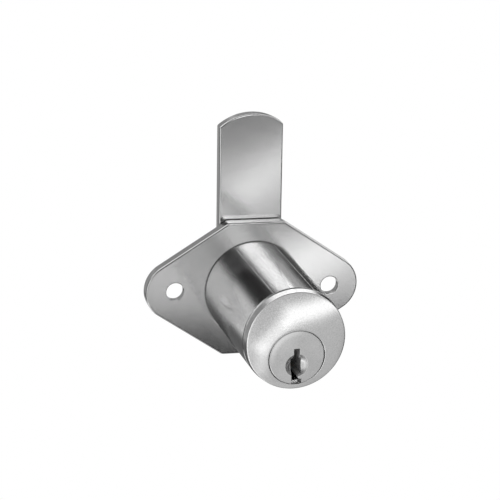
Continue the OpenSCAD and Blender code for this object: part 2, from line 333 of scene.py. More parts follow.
def startMaterial(name):
    material = bpy.data.materials.new(name)
    material.use_nodes = True
    tree = material.node_tree
    tree.nodes.clear()
    return material, tree


def metalFinish(name, look):
    # plated or bare metal: a grain that may run one way, softer blotches, and a finer bump over both
    material, tree = startMaterial(name)
    where = addNode(tree, "ShaderNodeTexCoord").outputs["Object"]
    stretched = addNode(tree, "ShaderNodeMapping", {}, {
        "Vector": where, "Scale": look.get("stretch", (1, 1, 1))})
    noises = {}
    for layer, place, detail, roughness in (("grain", stretched.outputs["Vector"], 3.0, 0.6),
                                            ("blotch", where, 2.0, 0.5), ("fine", where, 2.0, 0.5)):
        # its features are about as many millimetres across as the finish says
        noise = addNode(tree, "ShaderNodeTexNoise", {}, {
            "Vector": place, "Scale": 1000 / look[layer + "Mm"], "Detail": detail, "Roughness": roughness})
        noises[layer] = noise.outputs["Fac"]
    middle, spread = look["roughness"], look["roughSpread"]
    sums = {}
    for use, spans in {"rough": ((middle - spread, middle + spread), (-spread, spread)),
                       "tone": ((0, 0.5), (0, 0.5))}.items():
        # the grain and the blotches, each mapped onto a span of its own, and added up
        parts = [addNode(tree, "ShaderNodeMapRange", {"clamp": True}, {
            "Value": noises[layer], "From Min": 0.3, "From Max": 0.7, "To Min": low, "To Max": high})
            for layer, (low, high) in zip(("grain", "blotch"), spans)]
        added = addNode(tree, "ShaderNodeMath", {"operation": "ADD"}, {
            0: parts[0].outputs["Result"], 1: parts[1].outputs["Result"]})
        sums[use] = added.outputs[0]
    colour = addNode(tree, "ShaderNodeMix", {"data_type": "RGBA"}, {
        "Factor": sums["tone"], "A": hexColour(look["dark"]), "B": hexColour(look["light"])})
    depth = look["grainDepthMm"] / 1000
    bump = addNode(tree, "ShaderNodeBump", {}, {
        "Height": noises["grain"], "Strength": look["grainStrength"], "Distance": depth})
    fineBump = addNode(tree, "ShaderNodeBump", {}, {
        "Height": noises["fine"], "Strength": look["fineStrength"], "Distance": depth,
        "Normal": bump.outputs["Normal"]})
    rough = sums["rough"]
    if "wallRoughness" in look:
        # the more a face looks sideways, across the Y axis, the duller the broach or the mill left it
        facing = addNode(tree, "ShaderNodeSeparateXYZ", {}, {
            "Vector": addNode(tree, "ShaderNodeNewGeometry").outputs["True Normal"]})
        ahead = addNode(tree, "ShaderNodeMath", {"operation": "ABSOLUTE"}, {0: facing.outputs["Y"]})
        matt = addNode(tree, "ShaderNodeMapRange", {"clamp": True}, {
            "Value": ahead.outputs[0], "From Min": 0.6, "From Max": 0.99,
            "To Min": look["wallRoughness"], "To Max": 0})
        rough = addNode(tree, "ShaderNodeMath", {"operation": "MAXIMUM"}, {
            0: rough, 1: matt.outputs["Result"]}).outputs[0]
    shader = addNode(tree, "ShaderNodeBsdfPrincipled", {}, {
        "Base Color": colour.outputs["Result"], "Metallic": 1.0, "Roughness": rough,
        "Normal": fineBump.outputs["Normal"]})
    addNode(tree, "ShaderNodeOutputMaterial", {}, {"Surface": shader.outputs["BSDF"]})
    return material


finishes = {
    # pressed sheet steel, satin nickel plate: tumbled before plating, so it has a fine, even grain
    "satinNickelSteel": {
        "dark": "#bababa", "light": "#c6c6c6", "roughness": 0.17, "roughSpread": 0.01, "grainMm": 0.3,
        "blotchMm": 9, "fineMm": 0.25, "grainDepthMm": 0.01, "grainStrength": 0.1, "fineStrength": 0.1},
    # zinc die casting, tumbled and satin chromed: an even, fine grain that breaks the reflections up
    "satinChromeZinc": {
        "dark": "#9e9e9e", "light": "#cecece", "roughness": 0.17, "roughSpread": 0.01, "grainMm": 0.28,
        "stretch": (1, 0.6, 1), "blotchMm": 0.35, "fineMm": 0.2, "grainDepthMm": 0.015,
        "grainStrength": 0.35, "fineStrength": 0.3},
    # drawn brass shell, satin chrome: soft, with a fine sparkle
    "satinChromeBrass": {
        "dark": "#bcbcbc", "light": "#d0d0d0", "roughness": 0.17, "roughSpread": 0.01, "grainMm": 0.3,
        "blotchMm": 0.35, "fineMm": 0.25, "grainDepthMm": 0.01, "grainStrength": 0.1, "fineStrength": 0.1},
    # turned brass, satin nickel: a little duller than the cap
    "satinNickelBrass": {
        "dark": "#b5b5b5", "light": "#cbcbcb", "roughness": 0.2, "roughSpread": 0.015, "grainMm": 0.3,
        "blotchMm": 6, "fineMm": 0.2, "grainDepthMm": 0.01, "grainStrength": 0.1, "fineStrength": 0.1,
        "wallRoughness": 0.65},
    # zinc-plated steel: slightly blue, with a fine sparkle
    "zincPlatedWasher": {
        "dark": "#9fa2a6", "light": "#b7babe", "roughness": 0.3, "roughSpread": 0.04, "grainMm": 0.3,
        "blotchMm": 3, "fineMm": 0.15, "grainDepthMm": 0.02, "grainStrength": 0.2, "fineStrength": 0.15},
    "zincPlatedScrew": {
        "dark": "#a4a7ab", "light": "#bcbfc3", "roughness": 0.25, "roughSpread": 0.04, "grainMm": 0.4,
        "blotchMm": 3, "fineMm": 0.15, "grainDepthMm": 0.02, "grainStrength": 0.2, "fineStrength": 0.12},
    # turned brass pins
    "turnedBrass": {
        "dark": "#c39a4c", "light": "#dab765", "roughness": 0.22, "roughSpread": 0.04, "grainMm": 0.3,
        "stretch": (1, 1, 6), "blotchMm": 2, "fineMm": 0.1, "grainDepthMm": 0.01, "grainStrength": 0.15,
        "fineStrength": 0.1},
    # bright drawn spring wire
    "drawnSpringWire": {
        "dark": "#b0afab", "light": "#c8c7c3", "roughness": 0.2, "roughSpread": 0.03, "grainMm": 0.2,
        "blotchMm": 2, "fineMm": 0.1, "grainDepthMm": 0.005, "grainStrength": 0.1, "fineStrength": 0.1},
}
materials = {name: metalFinish(name, look) for name, look in finishes.items()}
print("materials made:", ", ".join(materials))


# Screw plate: its rim carried round the outline, its holes turned, its two faces filled flat
plateShape = {
    "holeSpacing": 37.3, "holeRadius": 2.1, "holeEdge": 0.18, "sinkWidth": 1.0,
    "earRadius": 6.9, "flatWidth": 14.7, "flatCornerRadius": 1.8,
    "frontEdge": 0.34, "backEdge": 0.2, "counterboreGap": 0.15,
    "earSteps": 48, "cornerSteps": 14, "holeSteps": 72, "boreSteps": 144, "sideShare": 0.7,
    # small broken edges, and the flat that carries on beyond each edge
    "sinkEdge": 0.08, "boreEdge": 0.06, "stakeEdge": 0.05,
    "holeFlat": 0.1, "boreFlat": 0.2, "backFlat": 0.3,
}


def plateOutline(inset):
    s = plateShape
    half = (plateHigh[2] - plateLow[2]) / 2 - s["flatCornerRadius"]
    side = s["flatWidth"] / 2 - s["flatCornerRadius"] * s["sideShare"]
    ear = s["holeSpacing"] / 2
    centres = [(ear, 0), (side, half), (-side, half), (-ear, 0), (-side, -half), (side, -half)]
    radii = [s["earRadius"], s["flatCornerRadius"], s["flatCornerRadius"]] * 2
    return tangentOutline(centres, radii, [s["earSteps"], s["cornerSteps"], s["cornerSteps"]] * 2, inset)


def plateWithHoles(outline, frontY, backY, frontEdge, backEdge, holes):
    # rim profile: flat, quarter arc, side, quarter arc, flat; holes are pairs of ring maker and profile
    flatReach = 0.12
    rim = rounded([(frontEdge + flatReach, frontY), (0, frontY), (0, backY), (backEdge + flatReach, backY)],
                  [0, frontEdge, backEdge, 0])
    shells = [swept(outline, rim)]
    for ring, profile in holes:
        shells.append(swept(ring, profile))
    front = [outline(rim[0][0])] + [ring(profile[0][0]) for ring, profile in holes]
    back = [outline(rim[-1][0])] + [ring(profile[-1][0]) for ring, profile in holes]
    for loops, y in ((front, frontY), (back, backY)):
        flat, faces = filled(loops)
        shells.append((atY(flat, y), faces))
    return shells


def makePlate():
    # the outline's rim, two countersunk holes and the stepped bore, each a rounded profile of (radius, y)
    s = plateShape
    front, back = plateLow[1], plateHigh[1]
    holes = []
    for sideSign in (-1, 1):
        centre = (sideSign * s["holeSpacing"] / 2, 0)
        r, e, w = s["holeRadius"], s["holeEdge"], s["sinkWidth"]
        profile = rounded([(r + e + s["holeFlat"], front), (r, front), (r, back - w), (r + w, back),
                           (r + w + s["backFlat"], back)], [0, e, 0, s["sinkEdge"], 0])
        holes.append((lambda radius, centre=centre: circle(centre, radius, s["holeSteps"]), profile))
    bore = barrelRadius + s["counterboreGap"]
    spigot, stake = fits["spigotRadius"] + fits["seat"], fits["stake"]
    deep = front + fits["counterboreDepth"]
    profile = rounded([(bore + s["boreFlat"], front), (bore, front), (bore, deep), (spigot, deep),
                       (spigot, back - stake), (spigot + stake, back),
                       (spigot + stake + s["backFlat"], back)],
                      [0, s["boreEdge"], 0, 0, 0, s["stakeEdge"], 0])
    holes.append((lambda radius: circle((0, 0), radius, s["boreSteps"]), profile))
    shells = plateWithHoles(plateOutline, front, back, s["frontEdge"], s["backEdge"], holes)
    return makePiece("screw_plate", shells, "housing", "flange", "satinNickelSteel")


# Pin bores, drilled down through the barrel and the plug, one for each pair of pins
def rod(start, end, radius, steps=48):
    # a closed cylinder from start to end: two circles about the line, at right angles to it
    start, end = np.array(start, float), np.array(end, float)
    along = (end - start) / np.linalg.norm(end - start)
    side = np.cross(along, [1.0, 0, 0])
    t = np.linspace(0, 2 * math.pi, steps, endpoint=False)[:, None]
    ring = radius * (np.cos(t) * side + np.sin(t) * np.cross(along, side))
    points = np.concatenate([start + ring, end + ring])
    walls, caps = grid(2, steps, closeCols=True), np.arange(2 * steps).reshape(2, steps)
    return [(points, walls), (points, caps)]


def pinBores(low, high):
    # from height low to height high over the plug's axis, each as wide as its pin and the clearance
    shells = []
    for name in sorted(n for n in frame["nodes"] if n.startswith("key_pin_")):
        pinLow, pinHigh = boxOf(name)
        y, radius = (pinLow[1] + pinHigh[1]) / 2, (pinHigh[1] - pinLow[1]) / 2 + fits["run"]
        shells += rod((0, y, low), (0, y, high), radius)
    return shells


# Barrel: every ring runs round either the barrel's axis or the plug's, which lies lower
barrelShape = {
    "bevel": 0.35, "bevelEdge": 0.1, "recessBore": 5.25, "lugBore": 7.3, "headBackY": -32.3,
    "lugFrom": -20.0, "lugTo": 110.0, "seamEdge": 0.1, "steps": 216, "wallSplit": 2e-4, "noseRings": 8,
    "seamPlaces": (0.2, 0.5, 0.9, 1.4, 2.0), "seamTight": 1.2, "stakeEdge": 0.05, "backFlat": 0.4,
    "boreBeyond": 0.5,
}


def barrelAngles():
    # even steps, two near-equal angles at each upright wall, and a few over the seams' rounded edges
    s = barrelShape
    wall = np.array([-s["wallSplit"], s["wallSplit"]])
    overEdge = np.array(s["seamPlaces"]) * s["seamEdge"] / barrelRadius / s["seamTight"]
    near = np.concatenate([wall, overEdge])
    marks = [np.linspace(0, 2 * math.pi, s["steps"], endpoint=False)]
    for sign in (-1, 1):
        marks.append((sign * (seamAngle + near)) % (2 * math.pi))
    for lug in (s["lugFrom"], s["lugTo"]):
        marks.append((math.radians(lug) + wall) % (2 * math.pi))
    return np.unique(np.round(np.concatenate(marks), 7))


def makeBarrel():
    # ring i, angle t: (r sin t, y, r cos t - drop * off), where off is 1 round the plug's axis and 0 round
    # the barrel's, and the outer rings fall to the cover's flat seat between the two seams
    s, t = barrelShape, barrelAngles()
    wrapped = (t + math.pi) % (2 * math.pi) - math.pi
    inSlot = np.abs(wrapped) < seamAngle
    seat = fits["coverSeat"] / np.cos(np.where(inSlot, wrapped, 0))
    edgeFall = cornerDrop((np.abs(wrapped) - seamAngle) * barrelRadius, s["seamEdge"])
    inLug = (wrapped > math.radians(s["lugFrom"])) & (wrapped < math.radians(s["lugTo"]))
    recess = np.where(inLug, s["lugBore"], s["recessBore"])
    innerDome = fits["domeRadius"] - fits["capWall"] - fits["seat"]
    head, body, journal = (fits[key] + fits["run"] for key in ("plugRadius", "bodyRadius", "journalRadius"))
    floorY, recessY = fits["floorY"], fits["recessY"]
    shoulder, nose, spigot = fits["shoulderY"], fits["noseRadius"], fits["spigotRadius"]
    rings = []

    def ring(radius, y, off=0.0):
        r, place = np.broadcast_to(radius, t.shape), np.broadcast_to(y, t.shape)
        rings.append(np.stack([r * np.sin(t), place, r * np.cos(t) - plugDrop * off], 1))

    for radius, y in [(recess, barrelBack), (recess, recessY), (journal, recessY), (journal, floorY),
                      (body, floorY), (body, s["headBackY"]), (head, s["headBackY"])]:
        ring(radius, y, 1.0)
    for share in np.linspace(0, 1, s["noseRings"]):
        # nose front: from the bore's edge to the nose's edge, on the ball under the cap
        r = (1 - share) * head + share * nose
        x, z = r * np.sin(t), r * np.cos(t) - (1 - share) * plugDrop
        rings.append(np.stack([x, domeCentreY - np.sqrt(innerDome ** 2 - x * x - z * z), z], 1))
    ring(nose, shoulder)
    outer = rounded([(nose, shoulder), (barrelRadius - s["bevel"], shoulder),
                     (barrelRadius, shoulder + s["bevel"]), (barrelRadius, fits["counterboreDepth"]),
                     (spigot, fits["counterboreDepth"])], [0, s["bevelEdge"], s["bevelEdge"], 0, 0], 3)
    for radius, y in outer[1:-1]:
        ring(np.where(inSlot, seat, radius - edgeFall), y)
    ring(spigot, fits["counterboreDepth"])
    staked = rounded([(spigot, fits["counterboreDepth"]), (spigot, barrelBack - fits["stake"]),
                      (spigot + fits["stake"], barrelBack), (spigot - s["backFlat"], barrelBack)],
                     [0, 0, s["stakeEdge"], 0], 3)
    for radius, y in staked[1:]:
        ring(radius, y)
    flat, backFaces = filled([rings[-1][:, [0, 2]], rings[0][:, [0, 2]]])
    shells = [(leaning(np.concatenate(rings)), grid(len(rings), len(t), closeCols=True)),
              (leaning(atY(flat, barrelBack)), backFaces)]
    bores = aboutPlug(pinBores(0, fits["coverSeat"] + plugDrop + s["boreBeyond"]))
    return makePiece("lock_barrel", shells, "housing", "barrel", "satinChromeZinc",
                     bores=bores)


# Chamber cover: one section, a shallow arch over a flat, carried along the barrel's top
coverShape = {"gap": 0.03, "edge": 0.08, "backEdge": 0.05, "arcSteps": 40, "baseSteps": 8, "endDepth": 1.2}


def makeCover():
    # section at place y: arc of radius R(y) between the seams, then straight sides to the flat seat
    s = coverShape
    half = fits["coverHalf"] - s["gap"]
    bottom = fits["coverSeat"] + fits["seat"]
    front, back = fits["shoulderY"], fits["counterboreDepth"] - fits["seat"]
    bevel, bevelEdge = barrelShape["bevel"], barrelShape["bevelEdge"]
    path = rounded([(barrelRadius - s["endDepth"], front), (barrelRadius - bevel, front),
                    (barrelRadius, front + bevel), (barrelRadius, back),
                    (barrelRadius - s["endDepth"], back)], [0, bevelEdge, bevelEdge, s["backEdge"], 0], 3)
    sections = []
    for radius, y in path:
        # across from side to side, with more points near the two rounded long edges
        x = half * np.sin(np.linspace(-math.pi / 2, math.pi / 2, s["arcSteps"]))
        z = np.sqrt(radius ** 2 - x ** 2) - cornerDrop(half - np.abs(x), s["edge"])
        z = np.maximum(z, bottom)
        base = half * np.linspace(1, -1, s["baseSteps"])
        section = np.concatenate([np.stack([x, z], 1), np.stack([base, np.full(base.shape, bottom)], 1)])
        sections.append(atY(section, y))
    points = np.concatenate(sections)
    walls = grid(len(sections), len(sections[0]), closeCols=True)
    shells = [(leaning(points), walls)]
    shells += [(leaning(end), np.arange(len(end))[None]) for end in (sections[0], sections[-1])]
    return makePiece("chamber_strip", shells, "housing", "chamber_cover", "satinChromeZinc")


# Face cap: a turned band and dome with a hole round the plug's axis
capShape = {"rimEdge": 0.14, "backEdge": 0.1, "holeEdge": 0.16, "backY": -31.75,
            "steps": 216, "domeRings": 22, "innerRings": 8, "innerEdge": 0.08, "cornerRise": 0.05,
            "wallAbove": 0.3}


def makeCap():
    # dome ring k, angle t: a share k of the way from the hole's circle to the rim's circle, with
    # y = dome centre - sqrt(R^2 - x^2 - z^2); the band is a turned profile
    s = capShape
    t = np.linspace(0, 2 * math.pi, s["steps"], endpoint=False)
    hole = fits["plugRadius"] + fits["ring"]
    rim = fits["capFrontRadius"] - s["rimEdge"]
    inner = fits["noseRadius"] + fits["seat"]
    rings = []

    def domeRing(share, holeRadius, rimRadius, ball, fall=0.0):
        r = (1 - share) * holeRadius + share * rimRadius
        x, z = r * np.sin(t), r * np.cos(t) - (1 - share) * plugDrop
        rings.append(np.stack([x, domeCentreY - np.sqrt(ball ** 2 - x * x - z * z) + fall, z], 1))

    e = s["holeEdge"]
    for turn in np.linspace(0, math.pi / 2, 6):
        # the hole's front edge: a quarter arc from the wall of the hole to the dome
        domeRing(0, hole + e * (1 - math.cos(turn)), rim, fits["domeRadius"], e * (1 - math.sin(turn)))
    for share in np.linspace(0, 1, s["domeRings"])[1:]:
        domeRing(share, hole + e, rim, fits["domeRadius"])
    rimY = domeCentreY - math.sqrt(fits["domeRadius"] ** 2 - rim ** 2)
    outerProfile = rounded([(rim - 0.01, rimY), (fits["capFrontRadius"], rimY + s["cornerRise"]),
                            (barrelRadius, s["backY"]), (inner, s["backY"]),
                            (inner, rimY + fits["capWall"] + s["wallAbove"])],
                           [0, s["rimEdge"], s["backEdge"], s["innerEdge"], 0], 6)
    rings.append(turned(outerProfile[1:-1], t))
    for share in np.linspace(1, 0, s["innerRings"]):
        domeRing(share, hole, inner, fits["domeRadius"] - fits["capWall"])
    points = np.concatenate(rings)
    faces = grid(len(points) // len(t), len(t), closeRows=True, closeCols=True)
    shells = [(leaning(points), faces)]
    return makePiece("domed_cap", shells, "housing", "face_cap", "satinChromeBrass")


# Plug: a front face with its dish and keyway, walls carried back from its outline, and the plain rear
plugShape = {
    "edge": 0.28, "crown": 0.1, "crownFrom": 4.6, "dishRadius": 2.6, "dishBall": 3.4, "dishZ": -1.85,
    "slotHalf": 0.65, "slotTop": 2.05, "keyHalf": 1.15, "stepZ": -0.4,
    "wardZ": -4.5, "wardIn": 0.9, "wardHigh": 1.2, "dishSoft": 0.03,
    "cutEdge": 0.09, "keyDepth": 24.24, "headLength": 2.0, "tailHalf": 3.4,
    "boreLow": -3.0, "tapRadius": 2.03, "tapDepth": 9.0, "wardSteps": 13,
    # how far the keyway's walls run down past the rim, and how far the drills run beyond the metal
    "lineEnd": -6.55, "boreBeyond": 1.0, "tapBeyond": 0.5,
    # the face's own points: rings on the rim's edge (from, to and how many, as an angle in radians), rings
    # about the plug and the dish, and lines beside the cut
    "edgeTurn": (0.1, 1.35, 6),
    "rimSteps": 176, "ringSteps": 120, "dishSteps": 96, "rearSteps": 144,
    "faceRings": (6.0, 5.8, 5.5, 5.2, 4.9, 4.6),
    "dishRings": (2.9, 2.7, 2.64, 2.6, 2.56, 2.5, 2.4, 2.25, 2.1, 1.9, 1.7, 1.5, 1.3, 1.1, 0.9, 0.7),
    "besideCut": (0.02, 0.05, 0.09, 0.16, 0.3), "cutSpacing": 0.12, "besideSpacing": 0.1,
    "loopClear": 0.012, "apart": 0.015,
}


def keywayLine():
    # up the right wall, round the ward, into the narrow slot, and down the left wall
    s = plugShape
    ward = s["wardHigh"] / 2
    tip = s["keyHalf"] - s["wardIn"] + ward
    turn = np.linspace(-math.pi / 2, -3 * math.pi / 2, s["wardSteps"])
    nose = np.stack([tip + ward * np.cos(turn), s["wardZ"] + ward * np.sin(turn)], 1)
    right = [(s["keyHalf"], s["lineEnd"]), (s["keyHalf"], s["wardZ"] - ward)]
    rest = [(s["keyHalf"], s["wardZ"] + ward), (s["keyHalf"], s["stepZ"]), (s["slotHalf"], s["stepZ"]),
            (s["slotHalf"], s["slotTop"]), (-s["slotHalf"], s["slotTop"]), (-s["slotHalf"], s["stepZ"]),
            (-s["keyHalf"], s["stepZ"]), (-s["keyHalf"], s["lineEnd"])]
    return np.concatenate([np.array(right), nose, np.array(rest)])


def evenly(line, spacing):
    # the same line with points added, so that no side is longer than the spacing
    parts = []
    for a, b in zip(line[:-1], line[1:]):
        count = max(1, math.ceil(np.linalg.norm(b - a) / spacing))
        parts.append(a + (b - a) * np.linspace(0, 1, count, endpoint=False)[:, None])
    return np.concatenate(parts + [line[-1:]])


def plugLoop(radius):
    # the plug's outline at one radius: the rim's arc, cut by the keyway's two walls. Every radius has
    # the same number of points, since walls that would pass a smaller rim end on it
    line = keywayLine()
    half = plugShape["keyHalf"]
    line[0, 1] = line[-1, 1] = -math.sqrt(fits["plugRadius"] ** 2 - half ** 2)
    bottom = -math.sqrt(radius ** 2 - half ** 2)
    cut = evenly(line, plugShape["cutSpacing"])
    cut[:, 1] = np.maximum(cut[:, 1], bottom)
    start = math.atan2(bottom, -half)
    end = math.atan2(bottom, half)
    t = np.linspace(start, end - 2 * math.pi, plugShape["rimSteps"])[1:-1]
    return np.concatenate([cut, radius * np.stack([np.cos(t), np.sin(t)], 1)])


def plugFaceHeight(flat, line):
    # flat face with a crowned rim, a ball-cut dish round the keyway, and a rounded edge along the cut
    s = plugShape
    r = np.linalg.norm(flat, axis=1)
    crown = s["crown"] * np.clip((r - s["crownFrom"]) / (fits["plugRadius"] - s["crownFrom"]), 0, 1) ** 2
    rimFall = cornerDrop(fits["plugRadius"] - r, s["edge"])
    rho = np.linalg.norm(flat - np.array([0, s["dishZ"]]), axis=1)
    out = math.sqrt(s["dishBall"] ** 2 - s["dishRadius"] ** 2)
    dish = np.sqrt(np.maximum(s["dishBall"] ** 2 - rho ** 2, 0)) - out
    dish = (dish + np.sqrt(dish ** 2 + s["dishSoft"] ** 2)) / 2
    cutFall = cornerDrop(distanceTo(flat, line, False), s["cutEdge"])
    return plugLow[1] + crown + rimFall + dish + cutFall


def makePlug():
    # face point (x, y(x, z), z) for every point inside the outline; the outline then runs back in steps to
    # the keyway's end, and behind it radius and y follow a turned profile
    s = plugShape
    radius, bodyRadius, journal = fits["plugRadius"], fits["bodyRadius"], fits["journalRadius"]
    line = keywayLine()
    loop = plugLoop(radius)
    extra = []
    for a in np.linspace(*s["edgeTurn"]):
        extra.append(circle((0, 0), radius - s["edge"] * (1 - math.sin(a)), s["rimSteps"]))
    for r in s["faceRings"]:
        extra.append(circle((0, 0), r, s["ringSteps"]))
    for rho in s["dishRings"]:
        extra.append(circle((0, s["dishZ"]), rho, s["dishSteps"]))
    near = evenly(line, s["besideSpacing"])
    step = np.gradient(near, axis=0)
    normal = np.stack([step[:, 1], -step[:, 0]], 1) / np.linalg.norm(step, axis=1)[:, None]
    for out in s["besideCut"]:
        extra.append(near + normal * out)
    extra = np.concatenate(extra)
    clear = distanceTo(extra, loop)
    extra = extra[(clear > s["loopClear"]) & insideLoop(extra, loop)]
    order = np.unique(np.round(extra / s["apart"]).astype(int), axis=0, return_index=True)[1]
    flat, faces = filled([loop], extra[np.sort(order)])
    height = plugFaceHeight(flat, line)
    shells = [(atY(flat, height), faces)]
    headBack = plugLow[1] + s["headLength"] - fits["run"]
    keyEnd = plugLow[1] + s["keyDepth"]
    inner = plugLoop(bodyRadius)
    rings = [atY(loop, height[:len(loop)]), atY(loop, headBack), atY(inner, headBack), atY(inner, keyEnd)]
    shells.append((np.concatenate(rings), grid(len(rings), len(loop), closeCols=True)))
    shells.append((atY(inner, keyEnd), np.arange(len(inner))[None]))
    t = np.linspace(0, 2 * math.pi, s["rearSteps"], endpoint=False)
    floorY, recessY = fits["floorY"] - fits["run"], fits["recessY"] + fits["run"]
    rear = np.array([(0, keyEnd), (bodyRadius, keyEnd), (bodyRadius, floorY), (journal, floorY),
                     (journal, recessY)])
    # tail: the journal's circle cut to two flats
    tail = [turned(rear, t)]
    for y in (recessY, plugHigh[1]):
        x = np.clip(journal * np.sin(t), -s["tailHalf"], s["tailHalf"])
        tail.append(np.stack([x, np.full(t.shape, y), journal * np.cos(t)], 1))
    tail.append(np.stack([0 * t, np.full(t.shape, plugHigh[1]), 0 * t], 1))    # its back, closed to a point
    shells.append((np.concatenate(tail), grid(len(rear) + 3, len(t), closeCols=True)))
    bores = pinBores(s["boreLow"], radius + s["boreBeyond"])
    bores += rod((0, plugHigh[1] - s["tapDepth"], 0), (0, plugHigh[1] + s["tapBeyond"], 0), s["tapRadius"])
    return makePiece("key_plug", aboutPlug(shells), "plug", "plug", "satinNickelBrass",
                     sharpAbove=32, bores=aboutPlug(bores))


# Cam: a pressed bar with an arched tip, round about the plug's axis
camShape = {"width": 15.1, "length": 44.9, "tipRadius": 11.9, "tipCorner": 0.5,
            "frontEdge": 0.36, "backEdge": 0.2, "holeEdge": 0.08, "holeFlat": 0.2,
            "holeSteps": 72, "endSteps": 56, "cornerSteps": 10, "tipSteps": 48}


def camOutline(inset):
    # circles: the round end, the tip's two corners, and the tip's arc, which touches both corners' circles
    s = camShape
    half, corner = s["width"] / 2, s["tipCorner"]
    tipZ = s["length"] - s["tipRadius"]
    cornerZ = tipZ + math.sqrt((s["tipRadius"] - corner) ** 2 - (half - corner) ** 2)
    centres = [(0, 0), (half - corner, cornerZ), (0, tipZ), (-half + corner, cornerZ)]
    steps = [s["endSteps"], s["cornerSteps"], s["tipSteps"], s["cornerSteps"]]
    return tangentOutline(centres, [half, corner, s["tipRadius"], corner], steps, inset)


def camHole(extra):
    # the journal's circle, with x held between the tail's two flats
    gap = fits["seat"] + extra
    ring = circle((0, 0), fits["journalRadius"] + gap, camShape["holeSteps"])
    half = plugShape["tailHalf"] + gap
    ring[:, 0] = np.clip(ring[:, 0], -half, half)
    return ring


def makeCam():
    # the outline and the hole, each carried through a rounded edge, about the plug's axis
    front, back = camLow[1], camHigh[1]
    s = camShape
    flat, edge = s["holeFlat"], s["holeEdge"]
    hole = rounded([(flat, front), (0, front), (0, back), (flat, back)], [0, edge, edge, 0], 3)
    shells = plateWithHoles(camOutline, front, back, s["frontEdge"], s["backEdge"], [(camHole, hole)])
    return makePiece("lock_cam", aboutPlug(shells), "plug", "cam", "satinNickelSteel")


plate = makePlate()
barrel = makeBarrel()
cover = makeCover()
cap = makeCap()
plug = makePlug()
cam = makeCam()

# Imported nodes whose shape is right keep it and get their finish
packedFinishes = {"stop_washer": "zincPlatedWasher", "lock_washer": "zincPlatedWasher",
                  "cam_screw": "zincPlatedScrew", "key_pin_": "turnedBrass", "driver_pin_": "turnedBrass",
                  "pin_spring_": "drawnSpringWire"}
for node, packed in frame["nodes"].items():
    for start, finish in packedFinishes.items():
        if node.startswith(start):
            for held in packed.material_slots:
                held.material = materials[finish]
print("packed nodes finished")


# Camera, fitted to the plug's rim, the cap's and barrel's edges, the holes and the plate's outline
cameraPlace = {"azimuth": -17.44, "elevation": 18.821, "roll": 3.496, "distance": 0.500018,
               "aim": (-0.006038, -0.015, 0.014872), "focalPixels": 2240.707, "imagePixels": 500,
               "sensor": 36.0}


def makeCamera():
    # back = (sin a cos e, -cos a cos e, sin e), and right and up are turned about it by the roll
    c = cameraPlace
    a, e, roll = (math.radians(c[k]) for k in ("azimuth", "elevation", "roll"))
    back = Vector((math.sin(a) * math.cos(e), -math.cos(a) * math.cos(e), math.sin(e)))
    right = Vector((math.cos(a), math.sin(a), 0))
    up = back.cross(right)
    across = right * math.cos(roll) + up * math.sin(roll)
    upward = up * math.cos(roll) - right * math.sin(roll)
    data = bpy.data.cameras.new("viewCamera")
    data.sensor_fit, data.sensor_width = "HORIZONTAL", c["sensor"]
    data.lens = c["focalPixels"] / c["imagePixels"] * c["sensor"]
    data.clip_start, data.clip_end = 0.01, 20
    camera = bpy.data.objects.new("viewCamera", data)
    place = Vector(c["aim"]) + back * c["distance"]
    turn = Matrix((across, upward, back)).transposed().to_4x4()
    camera.matrix_world = Matrix.Translation(place) @ turn
    bpy.context.scene.collection.objects.link(camera)
    bpy.context.scene.camera = camera


makeCamera()


